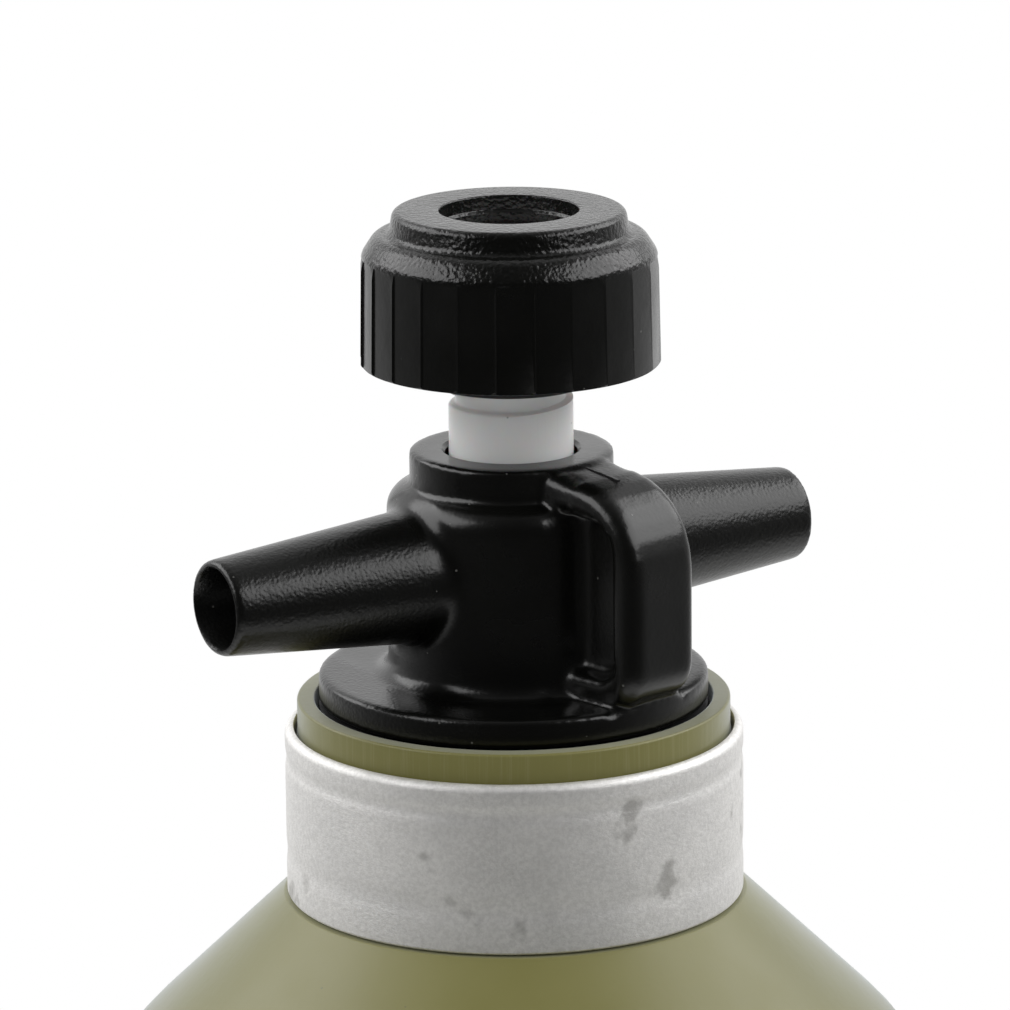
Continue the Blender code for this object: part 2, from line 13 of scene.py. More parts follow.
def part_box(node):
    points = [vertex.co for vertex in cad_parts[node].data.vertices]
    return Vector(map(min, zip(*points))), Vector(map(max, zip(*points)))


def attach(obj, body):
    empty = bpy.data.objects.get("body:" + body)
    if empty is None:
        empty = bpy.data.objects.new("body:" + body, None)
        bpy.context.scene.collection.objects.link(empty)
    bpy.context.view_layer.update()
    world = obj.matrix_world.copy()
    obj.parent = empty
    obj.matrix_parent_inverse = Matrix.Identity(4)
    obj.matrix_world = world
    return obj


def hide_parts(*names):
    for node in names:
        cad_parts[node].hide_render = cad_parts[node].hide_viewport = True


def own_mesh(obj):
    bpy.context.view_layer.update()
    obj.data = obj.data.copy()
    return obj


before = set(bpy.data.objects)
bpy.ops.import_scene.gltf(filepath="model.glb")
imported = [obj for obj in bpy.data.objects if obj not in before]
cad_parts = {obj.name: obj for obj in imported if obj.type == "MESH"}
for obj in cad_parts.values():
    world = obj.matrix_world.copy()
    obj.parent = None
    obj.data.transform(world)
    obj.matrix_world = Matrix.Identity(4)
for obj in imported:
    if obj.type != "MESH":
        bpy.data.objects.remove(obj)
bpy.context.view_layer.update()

bpy.ops.object.select_all(action="DESELECT")

# ---------------------------------------------------------------------------------------- studio
# A pale floor that fades into white, a tent of soft light that is dark where the viewer stands,
# and two soft boxes high at the left and right. The long lens looks down a little on the valve.

MM = 0.001
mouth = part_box("bottle_body")[1].z

view_turn = math.radians(-31.7)
view_tilt = math.radians(14.4)
view_roll = math.radians(-0.57)
view_distance = 0.534
view_lens = 231.7
aim_height = 0.0161
aim_aside = -0.00056

across = Vector((math.cos(view_turn), math.sin(view_turn), 0))
towards_viewer = Vector((math.sin(view_turn), -math.cos(view_turn), 0))
back = towards_viewer * math.cos(view_tilt) + Vector((0, 0, math.sin(view_tilt)))
aim = Vector((0, 0, mouth + aim_height)) + across * aim_aside
bpy.ops.object.camera_add(location=aim + back * view_distance)
camera = bpy.context.object
camera.rotation_mode = "QUATERNION"
camera.rotation_quaternion = back.to_track_quat("Z", "Y") @ Quaternion((0, 0, 1), view_roll)
camera.data.sensor_width = 36
camera.data.lens = view_lens
bpy.context.scene.camera = camera
bpy.context.scene.view_settings.view_transform = "Standard"


def add(tree, kind, inputs, **properties):
    """Adds a shader node. An input is a number, a vector, a colour, or another node's output."""
    made = tree.nodes.new("ShaderNode" + kind)
    for name, value in properties.items():
        setattr(made, name, value)
    for name, value in inputs.items():
        if isinstance(value, bpy.types.NodeSocket):
            tree.links.new(value, made.inputs[name])
        else:
            made.inputs[name].default_value = value
    return made


def blend_range(tree, value, low, high, to_low, to_high):
    """A value carried smoothly from one range to another."""
    made = add(tree, "MapRange", {"Value": value, "From Min": low, "From Max": high, "To Min": to_low,
                                  "To Max": to_high}, interpolation_type="SMOOTHSTEP")
    return made.outputs["Result"]


world = bpy.data.worlds.new("light_tent")
world.use_nodes = True
bpy.context.scene.world = world
tent = world.node_tree
tent.nodes.clear()
direction = add(tent, "TexCoord", {}).outputs["Generated"]
facing = add(tent, "VectorMath", {0: direction, 1: towards_viewer}, operation="DOT_PRODUCT")
share = add(tent, "MapRange", {"Value": facing.outputs["Value"], "From Min": -1.0}).outputs[0]
shades = add(tent, "ValToRGB", {"Fac": share})
stops = shades.color_ramp.elements
stops[0].position, stops[1].position = 0.0, 1.0
for position, level in ((0.05, 1.0), (0.18, 0.62), (0.33, 0.40), (0.55, 0.20), (0.75, 0.07)):
    stops.new(position).color = (level, level, level, 1)
stops[0].color, stops[-1].color = (1.08, 1.08, 1.08, 1), (0.03, 0.03, 0.03, 1)
soft = add(tent, "LightPath", {}).outputs["Is Diffuse Ray"]
even = add(tent, "Math", {0: soft, 1: 0.42}, operation="MULTIPLY").outputs[0]
level = add(tent, "Math", {0: shades.outputs[0], 1: even}, operation="MAXIMUM").outputs[0]
lit = add(tent, "Background", {"Color": (1, 1, 1, 1), "Strength": level})
seen = add(tent, "Background", {"Color": (1, 1, 1, 1), "Strength": 1.0})
first_ray = add(tent, "LightPath", {}).outputs["Is Camera Ray"]
either = add(tent, "MixShader", {0: first_ray, 1: lit.outputs[0], 2: seen.outputs[0]})
add(tent, "OutputWorld", {"Surface": either.outputs[0]})

box_reach, box_set_back, box_rise, box_distance = 0.80, 0.03, 0.59, 0.9
for label, side in (("left", -1), ("right", 1)):
    off_aim = across * side * box_reach - towards_viewer * box_set_back + Vector((0, 0, box_rise))
    place = aim + off_aim * box_distance
    bpy.ops.object.light_add(type="AREA", location=place)
    box = bpy.context.object
    box.name = f"soft_box_{label}"
    box.rotation_mode = "QUATERNION"
    box.rotation_quaternion = (place - aim).to_track_quat("Z", "Y")
    box.data.shape = "RECTANGLE"
    box.data.size, box.data.size_y = 1.4, 0.58
    box.data.energy = 7.4
    box.visible_camera = False


def new_material(name, **constants):
    """A material with its Principled BSDF, whose even values are set on its own sockets."""
    made = bpy.data.materials.new(name)
    made.use_nodes = True
    shader = made.node_tree.nodes["Principled BSDF"]
    for socket, value in constants.items():
        shader.inputs[socket.replace("_", " ")].default_value = value
    return made, made.node_tree, shader


bpy.ops.mesh.primitive_circle_add(vertices=128, radius=0.4, fill_type="NGON")
floor = bpy.context.object
floor.name = "pale_floor"
floor_paint, tree, shader = new_material("pale_floor", Base_Color=(0.86, 0.86, 0.85, 1), Roughness=0.7)
spread = add(tree, "VectorMath", {0: add(tree, "TexCoord", {}).outputs["Object"]}, operation="LENGTH")
fade = blend_range(tree, spread.outputs["Value"], 0.10, 0.38, 1.0, 0.0)
tree.links.new(fade, shader.inputs["Alpha"])
floor.data.materials.append(floor_paint)

# ---------------------------------------------------------------------------------------- bottle
# Blow-moulded bottle of olive polyethylene: hollow base, upright wall, sloping shoulder and
# a thick neck with an inner thread. The lip is trimmed and has an inner step for the gasket.


def only(piece):
    """Selects one piece and nothing else, so that an operator acts on it alone."""
    if bpy.context.mode != "OBJECT":
        bpy.ops.object.mode_set(mode="OBJECT")
    bpy.ops.object.select_all(action="DESELECT")
    piece.select_set(True)
    bpy.context.view_layer.objects.active = piece


def rounded(*corners, degrees=12):
    """Closed outline through (radius, height, rounding) corners, each rounding drawn as an arc."""
    points = []
    for i, (radius, height, rounding) in enumerate(corners):
        here = Vector((radius, height))
        if not rounding:
            points.append(here)
            continue
        before = (Vector(corners[i - 1][:2]) - here).normalized()
        after = (Vector(corners[(i + 1) % len(corners)][:2]) - here).normalized()
        half = before.angle(after) / 2
        centre = here + (before + after).normalized() * rounding / math.sin(half)
        start = here + before * rounding / math.tan(half) - centre
        end = here + after * rounding / math.tan(half) - centre
        steps = max(2, round(math.degrees(math.pi - 2 * half) / degrees))
        points += [centre + rounding * start.slerp(end, step / steps) for step in range(steps + 1)]
    return points


def turned(name, outline, sides=96):
    """Turned piece: a loop of edges laid along the outline and spun round the axis."""
    bpy.ops.mesh.primitive_circle_add(vertices=len(outline), radius=1)
    piece = bpy.context.object
    piece.name = piece.data.name = name
    only(piece)
    for vertex, (radius, height) in zip(piece.data.vertices, outline):
        vertex.co = (radius, 0, height)
    bpy.ops.object.mode_set(mode="EDIT")
    bpy.ops.mesh.select_all(action="SELECT")
    bpy.ops.mesh.spin(steps=sides, angle=math.tau, center=(0, 0, 0), axis=(0, 0, 1))
    bpy.ops.mesh.select_all(action="SELECT")
    bpy.ops.mesh.remove_doubles(threshold=1e-4)
    bpy.ops.mesh.delete_loose()
    bpy.ops.mesh.select_all(action="SELECT")
    bpy.ops.mesh.normals_make_consistent(inside=False)
    bpy.ops.object.mode_set(mode="OBJECT")
    return piece


def ridge(name, root, crest, foot, start, pitch, turns, base, tip):
    """Thread ridge: a trapezoid carried up a helix by a Screw modifier, with its two ends closed."""
    bpy.ops.mesh.primitive_circle_add(vertices=4, radius=1)
    piece = bpy.context.object
    piece.name = name
    only(piece)
    section = ((root, -base / 2), (crest, -tip / 2), (crest, tip / 2), (root, base / 2))
    for vertex, (radius, offset) in zip(piece.data.vertices, section):
        vertex.co = (radius * math.cos(start), radius * math.sin(start), foot + offset)
    helix = piece.modifiers.new("helix", "SCREW")
    helix.angle = math.tau * turns
    helix.screw_offset = pitch * turns
    helix.steps = helix.render_steps = round(turns * 48)
    bpy.ops.object.modifier_apply(modifier=helix.name)
    bpy.ops.object.mode_set(mode="EDIT")
    bpy.ops.mesh.select_all(action="SELECT")
    bpy.ops.mesh.fill_holes(sides=4)
    bpy.ops.mesh.select_all(action="SELECT")
    bpy.ops.mesh.normals_make_consistent(inside=False)
    bpy.ops.object.mode_set(mode="OBJECT")
    return piece


def combine(piece, operation, *tools, crossing=False):
    """Adds the tools to a piece, or cuts them from it, and throws them away."""
    for tool in tools:
        only(piece)
        step = piece.modifiers.new(operation, "BOOLEAN")
        step.operation = operation
        step.object = tool
        step.solver = "EXACT"
        step.use_self = crossing
        bpy.ops.object.modifier_apply(modifier=step.name)
        bpy.data.objects.remove(tool)


def settle(piece, paint, body, replaced, sharp=35):
    """Shades a finished piece, puts it in its place in metres, and hands it to its body."""
    only(piece)
    bpy.ops.object.shade_smooth_by_angle(angle=math.radians(sharp))
    piece.scale = (MM, MM, MM)
    piece.location.z += mouth
    bpy.ops.object.transform_apply(location=True, rotation=True, scale=True)
    piece.data.materials.clear()
    piece.data.materials.append(paint)
    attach(piece, body)
    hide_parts(replaced)


def new_group(name, inputs, outputs):
    """A shader node group with named inputs and outputs, its input and output nodes in place."""
    group = bpy.data.node_groups.new(name, "ShaderNodeTree")
    for label, kind in inputs:
        group.interface.new_socket(label, in_out="INPUT", socket_type="NodeSocket" + kind)
    for label, kind in outputs:
        group.interface.new_socket(label, in_out="OUTPUT", socket_type="NodeSocket" + kind)
    return group, group.nodes.new("NodeGroupInput").outputs, group.nodes.new("NodeGroupOutput").inputs


def mixed(tree, factor, first, second):
    """A colour between two others."""
    made = tree.nodes.new("ShaderNodeMix")
    made.data_type = "RGBA"
    for socket, value in ((made.inputs[0], factor), (made.inputs[6], first), (made.inputs[7], second)):
        if isinstance(value, bpy.types.NodeSocket):
            tree.links.new(value, socket)
        else:
            socket.default_value = value
    return made.outputs[2]


# Leathery grain of a blasted mould: rounded lumps a fraction of a millimetre across.
grain_group, given, result = new_group("mould_grain", [("Vector", "Vector"), ("Scale", "Float")],
                                       [("Height", "Float")])
cells = add(grain_group, "TexVoronoi", {"Vector": given["Vector"], "Scale": given["Scale"]},
            feature="SMOOTH_F1")
clouds = add(grain_group, "TexNoise", {"Vector": given["Vector"], "Scale": given["Scale"], "Detail": 3.0})
lumps = add(grain_group, "Math", {0: cells.outputs["Distance"], 1: clouds.outputs[0]}, operation="ADD")
grain_group.links.new(lumps.outputs[0], result["Height"])

# Dust, nicks and pits: a mask of small spots in a few of the cells.
speck_group, given, result = new_group(
    "specks", [("Vector", "Vector"), ("Scale", "Float"), ("Share", "Float")], [("Mask", "Float")])
cells = add(speck_group, "TexVoronoi", {"Vector": given["Vector"], "Scale": given["Scale"]})
speck_share_of_cell = 0.16
near = add(speck_group, "Math", {0: cells.outputs["Distance"], 1: speck_share_of_cell}, operation="LESS_THAN")
lot = add(speck_group, "SeparateColor", {"Color": cells.outputs["Color"]})
drawn = add(speck_group, "Math", {0: lot.outputs[0], 1: given["Share"]}, operation="LESS_THAN")
spot = add(speck_group, "Math", {0: near.outputs[0], 1: drawn.outputs[0]}, operation="MULTIPLY")
speck_group.links.new(spot.outputs[0], result["Mask"])


def grain(tree, vector, scale):
    """Height of the grain at a place, with a number of cells per metre."""
    made = add(tree, "Group", {}, node_tree=grain_group)
    tree.links.new(vector, made.inputs["Vector"])
    made.inputs["Scale"].default_value = scale
    return made.outputs["Height"]


def specks(tree, vector, scale, share):
    """Mask of the spots, with a number of cells per metre and the share of them that hold a spot."""
    made = add(tree, "Group", {}, node_tree=speck_group)
    tree.links.new(vector, made.inputs["Vector"])
    made.inputs["Scale"].default_value = scale
    made.inputs["Share"].default_value = share
    return made.outputs["Mask"]


def olive_plastic():
    """Olive polyethylene: slightly cloudy colour, orange peel, vertical trimming marks on the lip."""
    paint, tree, shader = new_material("olive_polyethylene", Specular_IOR_Level=0.5, Sheen_Weight=0.9,
                                       Sheen_Roughness=0.35, Sheen_Tint=(0.88, 0.94, 1.0, 1))
    place = add(tree, "TexCoord", {}).outputs["Object"]
    cloud = add(tree, "TexNoise", {"Vector": place, "Scale": 90.0, "Detail": 4.0}).outputs[0]
    colour = mixed(tree, cloud, (0.168, 0.158, 0.044, 1), (0.205, 0.193, 0.060, 1))
    height = add(tree, "SeparateXYZ", {"Vector": place}).outputs["Z"]
    on_lip = blend_range(tree, height, mouth - 2.6 * MM, mouth - 2.0 * MM, 0.0, 1.0)
    marks_place = add(tree, "Mapping", {"Vector": place, "Scale": (5200, 5200, 90)}).outputs[0]
    marks = add(tree, "TexNoise", {"Vector": marks_place, "Scale": 1.0, "Detail": 2.0}).outputs[0]
    pale = blend_range(tree, marks, 0.50, 0.75, 0.0, 0.12)
    pale_lip = add(tree, "Math", {0: pale, 1: on_lip}, operation="MULTIPLY").outputs[0]
    colour = mixed(tree, pale_lip, colour, (0.42, 0.41, 0.26, 1))
    dust = specks(tree, place, 1500.0, 0.012)
    colour = mixed(tree, add(tree, "Math", {0: dust, 1: 0.5}, operation="MULTIPLY").outputs[0], colour,
                   (0.10, 0.10, 0.05, 1))
    tree.links.new(colour, shader.inputs["Base Color"])
    tree.links.new(blend_range(tree, cloud, 0.3, 0.7, 0.36, 0.46), shader.inputs["Roughness"])
    peel = add(tree, "TexNoise", {"Vector": place, "Scale": 900.0, "Detail": 2.0}).outputs[0]
    cuts = add(tree, "Math", {0: marks, 1: pale_lip}, operation="MULTIPLY").outputs[0]
    relief = add(tree, "Math", {0: peel, 1: cuts}, operation="ADD").outputs[0]
    bump = add(tree, "Bump", {"Height": relief, "Strength": 1.0, "Distance": 0.000012})
    tree.links.new(bump.outputs[0], shader.inputs["Normal"])
    return paint


OLIVE = olive_plastic()

bottle_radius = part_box("bottle_body")[1].x / MM
bottle_foot = (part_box("bottle_body")[0].z - mouth) / MM
bottle_wall = 1.7
shoulder_line, shoulder_slope = 1.96, 0.969
neck_radius, neck_bore = 18.0, 14.6
ledge_radius = 19.25
lip_radius = 17.93
recess_radius, recess_foot = 16.45, -1.7
neck_foot = shoulder_line - shoulder_slope * ledge_radius
inside_line = shoulder_line - bottle_wall * math.hypot(1, shoulder_slope)
inside_radius = bottle_radius - bottle_wall

bottle = turned("bottle", rounded(
    (0, bottle_foot + 2.2, 0), (20, bottle_foot + 1.8, 8), (26.5, bottle_foot, 1.2),
    (bottle_radius, bottle_foot, 4), (bottle_radius, shoulder_line - shoulder_slope * bottle_radius, 20),
    (ledge_radius, neck_foot, 0.3), (neck_radius, neck_foot + 0.05, 0.2),
    (neck_radius, -3.0, 0.05), (lip_radius, -2.6, 0.05), (lip_radius, 0, 0.22),
    (recess_radius, 0, 0.18), (recess_radius, recess_foot, 0.15), (neck_bore, recess_foot, 0.3),
    (neck_bore, inside_line - shoulder_slope * neck_bore, 1.5),
    (inside_radius, inside_line - shoulder_slope * inside_radius, 18.3),
    (inside_radius, bottle_foot + bottle_wall, 2.3), (27.2, bottle_foot + bottle_wall, 1.5),
    (20, bottle_foot + 3.6, 6), (0, bottle_foot + 4.0, 0), degrees=6), sides=192)
cap_pitch, cap_turns, cap_thread_foot = 3.0, 3.0, -12.4
neck_crest = 13.6
combine(bottle, "UNION", ridge("neck_thread", neck_bore + 0.6, neck_crest, cap_thread_foot, 0, cap_pitch,
                               cap_turns, base=1.2, tip=0.7))
settle(bottle, OLIVE, "bottle", "bottle_body", sharp=50)

# ---------------------------------------------------------------------------------------- ring
# Aluminium ring pressed over the neck: rolled top edge, a shallow step under it where the die
# closed, and a tumbled surface full of small dents.


def tumbled_aluminium():
    """Bare aluminium after tumbling: mottled sheen, fine dents and a few dark smudges."""
    paint, tree, shader = new_material("tumbled_aluminium", Metallic=1.0)
    place = add(tree, "TexCoord", {}).outputs["Object"]
    mottle = add(tree, "TexNoise", {"Vector": place, "Scale": 2600.0, "Detail": 5.0, "Roughness": 0.7})
    mottle = mottle.outputs[0]
    stain = add(tree, "TexNoise", {"Vector": place, "Scale": 190.0, "Detail": 4.0}).outputs[0]
    colour = mixed(tree, blend_range(tree, mottle, 0.35, 0.65, 0.0, 1.0), (0.86, 0.85, 0.835, 1),
                   (0.97, 0.96, 0.945, 1))
    colour = mixed(tree, blend_range(tree, stain, 0.62, 0.72, 0.0, 0.5), colour, (0.33, 0.32, 0.30, 1))
    tree.links.new(colour, shader.inputs["Base Color"])
    tree.links.new(blend_range(tree, stain, 0.35, 0.65, 0.60, 0.70), shader.inputs["Roughness"])
    dents_place = add(tree, "Mapping", {"Vector": place, "Scale": (1.0, 1.0, 1.7)}).outputs[0]
    dents = add(tree, "TexNoise", {"Vector": dents_place, "Scale": 2300.0, "Detail": 4.0, "Roughness": 0.7})
    bump = add(tree, "Bump", {"Height": dents.outputs[0], "Strength": 1.0, "Distance": 0.00005})
    tree.links.new(bump.outputs[0], shader.inputs["Normal"])
    return paint


ring_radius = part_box("neck_ring")[1].x / MM
ring_top = (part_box("neck_ring")[1].z - mouth) / MM
ring_foot = (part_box("neck_ring")[0].z - mouth) / MM
ring_bore = ring_radius - 0.75
ring = turned("neck_band", rounded(
    (ring_bore, ring_foot, 0.2), (ring_radius, ring_foot, 0.3), (ring_radius, ring_foot + 2.6, 6),
    (ring_radius - 0.1, ring_foot + 3.6, 6), (ring_radius, ring_foot + 5.0, 6),
    (ring_radius, ring_top - 3.3, 3), (ring_radius - 0.16, ring_top - 2.5, 2),
    (ring_radius, ring_top - 1.7, 2), (ring_radius, ring_top, 0.7), (ring_bore, ring_top, 0.1),
    degrees=8), sides=192)
settle(ring, tumbled_aluminium(), "bottle", "neck_ring", sharp=50)

# ---------------------------------------------------------------------------------------- seals
# Turned rubber rings: the gasket on the lip, the stem's O-ring, the washer that closes the valve's
# seat, and the ring under the knob that meets the collar.


def black_rubber():
    """Fuel-resistant rubber: dull, with a fine bloom on it."""
    paint, tree, shader = new_material("black_rubber", Specular_IOR_Level=0.35)
    place = add(tree, "TexCoord", {}).outputs["Object"]
    bloom = add(tree, "TexNoise", {"Vector": place, "Scale": 500.0, "Detail": 4.0}).outputs[0]
    tree.links.new(mixed(tree, bloom, (0.010, 0.010, 0.010, 1), (0.024, 0.024, 0.025, 1)),
                   shader.inputs["Base Color"])
    tree.links.new(blend_range(tree, bloom, 0.3, 0.7, 0.5, 0.7), shader.inputs["Roughness"])
    bump = add(tree, "Bump", {"Height": grain(tree, place, 5000.0), "Strength": 1.0, "Distance": 0.000008})
    tree.links.new(bump.outputs[0], shader.inputs["Normal"])
    return paint


RUBBER = black_rubber()
clearance = 0.3

gasket = turned("lip_gasket", rounded(
    (13.7, recess_foot + clearance, 0.12), (recess_radius - clearance, recess_foot + clearance, 0.12),
    (recess_radius - clearance, -0.5, 0.12), (13.7, -0.5, 0.12)), sides=128)
settle(gasket, RUBBER, "gasket", "cap_gasket")

stem_radius = 5.12
o_ring_section, o_ring_middle, o_ring_height = 0.85, 6.32, 16.85
o_ring = turned("stem_ring_seal", rounded(
    (o_ring_middle - o_ring_section, o_ring_height - o_ring_section, o_ring_section - 0.01),
    (o_ring_middle + o_ring_section, o_ring_height - o_ring_section, o_ring_section - 0.01),
    (o_ring_middle + o_ring_section, o_ring_height + o_ring_section, o_ring_section - 0.01),
    (o_ring_middle - o_ring_section, o_ring_height + o_ring_section, o_ring_section - 0.01), degrees=18))
settle(o_ring, RUBBER, "valve", "stem_o_ring")

spigot_bore = 2.35
seat_washer = turned("seat_washer", rounded(
    (spigot_bore, -2.0, 0.1), (7.4, -2.0, 0.1), (7.4, -0.5, 0.4), (spigot_bore, -0.5, 0.1)))
settle(seat_washer, RUBBER, "stem", "seat_seal")

knob_ring = turned("knob_ring_seal", rounded(
    (5.5, 26.6, 0.2), (7.05, 26.6, 0.6), (7.05, 27.9, 0.1), (5.5, 27.9, 0.1)))
settle(knob_ring, RUBBER, "seal", "knob_seal")

# ---------------------------------------------------------------------------------------- valve body
# One black moulding: a threaded plug and a flange that close the bottle, a barrel with a collar,
# two tapered spouts, and a grip ear cored from both sides. All its inner corners are filleted.


def black_moulding(name, grained, grain_scale, grain_height, grain_rough):
    """Glossy black moulding, grained where the mask says so, with nicks and a little dust."""
    paint, tree, shader = new_material(name, Specular_IOR_Level=0.5)
    place = add(tree, "TexCoord", {}).outputs["Object"]
    mask = grained(tree, place)
    cloud = add(tree, "TexNoise", {"Vector": place, "Scale": 160.0, "Detail": 5.0}).outputs[0]
    colour = mixed(tree, cloud, (0.0018, 0.0019, 0.0015, 1), (0.0034, 0.0035, 0.0029, 1))
    dust = specks(tree, place, 1700.0, 0.02)
    colour = mixed(tree, add(tree, "Math", {0: dust, 1: 0.5}, operation="MULTIPLY").outputs[0], colour,
                   (0.16, 0.16, 0.15, 1))
    tree.links.new(colour, shader.inputs["Base Color"])
    smooth = blend_range(tree, cloud, 0.3, 0.7, 0.20, 0.28)
    rough = add(tree, "MapRange", {"Value": mask, "To Min": smooth, "To Max": grain_rough}).outputs[0]
    tree.links.new(rough, shader.inputs["Roughness"])
    lumps = add(tree, "Math", {0: grain(tree, place, grain_scale), 1: mask}, operation="MULTIPLY").outputs[0]
    wave = add(tree, "TexNoise", {"Vector": place, "Scale": 350.0, "Detail": 2.0}).outputs[0]
    relief = add(tree, "Math", {0: lumps, 1: wave}, operation="ADD").outputs[0]
    bump = add(tree, "Bump", {"Height": relief, "Strength": 1.0, "Distance": grain_height})
    tree.links.new(bump.outputs[0], shader.inputs["Normal"])
    return paint


def slab(name, outline, half, turn=0.0):
    """Plate in the plane of radius and height: its outline filled, extruded and turned about the axis."""
    bpy.ops.mesh.primitive_circle_add(vertices=len(outline), radius=1)
    piece = bpy.context.object
    piece.name = name
    only(piece)
    for vertex, (radius, height) in zip(piece.data.vertices, outline):
        vertex.co = (radius, -half, height)
    bpy.ops.object.mode_set(mode="EDIT")
    bpy.ops.mesh.select_all(action="SELECT")
    bpy.ops.mesh.edge_face_add()
    bpy.ops.mesh.extrude_region_move(TRANSFORM_OT_translate={"value": (0, 2 * half, 0)})
    bpy.ops.mesh.select_all(action="SELECT")
    bpy.ops.mesh.normals_make_consistent(inside=False)
    bpy.ops.object.mode_set(mode="OBJECT")
    piece.rotation_euler.z = turn
    bpy.ops.object.transform_apply(location=False, rotation=True, scale=False)
    return piece


def soften(piece, width, segments=4, sharp=40):
    """Rounds every edge sharper than an angle."""
    only(piece)
    edge = piece.modifiers.new("rounding", "BEVEL")
    edge.width = width
    edge.segments = segments
    edge.limit_method = "ANGLE"
    edge.angle_limit = math.radians(sharp)
    bpy.ops.object.modifier_apply(modifier=edge.name)


def lay_along_x(piece, side, height):
    """Lays a turned piece down along X, to the right or the left, at a height."""
    only(piece)
    piece.rotation_euler.y = side * math.pi / 2
    piece.location.z = height
    bpy.ops.object.transform_apply(location=True, rotation=True, scale=False)


plug_foot = (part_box("valve_body")[0].z - mouth) / MM
plug_radius, plug_bore = 13.2, 11.0
flange_radius, flange_under, flange_top = 16.1, -0.2, 2.3
barrel_radius = 10.3
collar_radius, collar_foot = 8.38, 18.2
collar_top = (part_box("valve_body")[1].z - mouth) / MM
spout_height, spout_tip, spout_bore, spout_slope = 11.53, 3.9, 3.25, 0.0885
spout_ends = {-1: -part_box("valve_body")[0].x / MM, 1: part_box("valve_body")[1].x / MM}
ear_turn = math.radians(13 - 90)
ear_reach, ear_half, ear_web = 17.5, 3.9, 2.1

valve = turned("valve_moulding", rounded(
    (0, flange_under, 0), (flange_radius, flange_under, 0.3), (flange_radius, flange_top, 0.35),
    (barrel_radius, flange_top, 1.4), (barrel_radius, 17.0, 2.0),
    (collar_radius + 0.9, collar_foot - 0.3, 1.6), (collar_radius, collar_foot, 0.3),
    (collar_radius, collar_top, 0.22), (0, collar_top, 0)), sides=160)
for side, reach in spout_ends.items():
    root = 4.0
    spout = turned("spout", rounded(
        (0, root, 0), (spout_tip + spout_slope * (reach - root), root, 0), (spout_tip, reach, 0.35),
        (0, reach, 0)), sides=96)
    lay_along_x(spout, side, spout_height)
    combine(valve, "UNION", spout)

ear_outline = rounded((6, 2.1, 0), (ear_reach, 2.1, 3.4), (ear_reach, 19.65, 7.0), (7.5, 20.85, 0),
                      (6, 20.85, 0))
ear = slab("ear", ear_outline, ear_half)
soften(ear, 2.0, segments=6, sharp=50)
pocket_outline = rounded((6, 4.6, 0), (15.1, 4.6, 2.0), (15.1, 17.4, 2.4), (6, 18.2, 0))
for side in (-1, 1):
    pocket_half = 2
    pocket = slab("pocket", pocket_outline, pocket_half)
    pocket.location.y = side * (ear_web + pocket_half)
    bpy.ops.object.transform_apply(location=True, rotation=False, scale=False)
    combine(ear, "DIFFERENCE", pocket)
soften(ear, 0.7, segments=4, sharp=50)
# The gate's mark is a small dimple in the pocket's floor.
bpy.ops.mesh.primitive_uv_sphere_add(segments=24, ring_count=12, radius=0.8, location=(13.5, -3.1, 5.2))
combine(ear, "DIFFERENCE", bpy.context.object)
ear.rotation_euler.z = ear_turn
only(ear)
bpy.ops.object.transform_apply(location=False, rotation=True, scale=False)
combine(valve, "UNION", ear)

skin = valve.modifiers.new("skin", "REMESH")
skin.mode = "VOXEL"
skin.voxel_size = 0.26
only(valve)
bpy.ops.object.modifier_apply(modifier=skin.name)


def near_joint(point):
    """Whether a point lies where a spout or the ear grows out of the barrel, or the ear out of the flange."""
    x, y, z = point
    from_axis = math.hypot(x, y)
    end = spout_ends[1 if x > 0 else -1]
    off_spout = abs(math.hypot(y, z - spout_height) - (spout_tip + spout_slope * (end - abs(x))))
    off_barrel = abs(from_axis - barrel_radius)
    along_ear = x * math.cos(ear_turn) + y * math.sin(ear_turn)
    beside_ear = abs(y * math.cos(ear_turn) - x * math.sin(ear_turn))
    at_ear = along_ear > 6 and ear_web - 0.8 < beside_ear < ear_half + 1.1
    at_spout = off_spout < 1.2 and off_barrel < 1.2
    at_bar = 9 < along_ear < 15.6 and 1.8 < z < 6.4 and beside_ear < ear_half + 0.6
    at_foot = at_ear and abs(z - flange_top) < 0.7 and from_axis < 15.3
    return at_spout or at_bar or at_foot or (at_ear and off_barrel < 1.0)


bpy.ops.object.mode_set(mode="EDIT")
bpy.ops.mesh.select_all(action="SELECT")
bpy.ops.mesh.vertices_smooth(factor=0.5, repeat=4)
bpy.ops.mesh.select_all(action="DESELECT")
bpy.ops.object.mode_set(mode="OBJECT")
for vertex in valve.data.vertices:
    vertex.select = near_joint(vertex.co)
bpy.ops.object.mode_set(mode="EDIT")
bpy.ops.mesh.vertices_smooth(factor=0.5, repeat=24)
bpy.ops.object.mode_set(mode="OBJECT")

# The mould's seam stands a little proud along the ear's top.
seam = slab("seam", [(8.0, 19.5), (12.3, 19.2), (12.3, 20.35), (10.4, 20.62), (8.0, 20.82)], 0.13, ear_turn)
combine(valve, "UNION", seam)

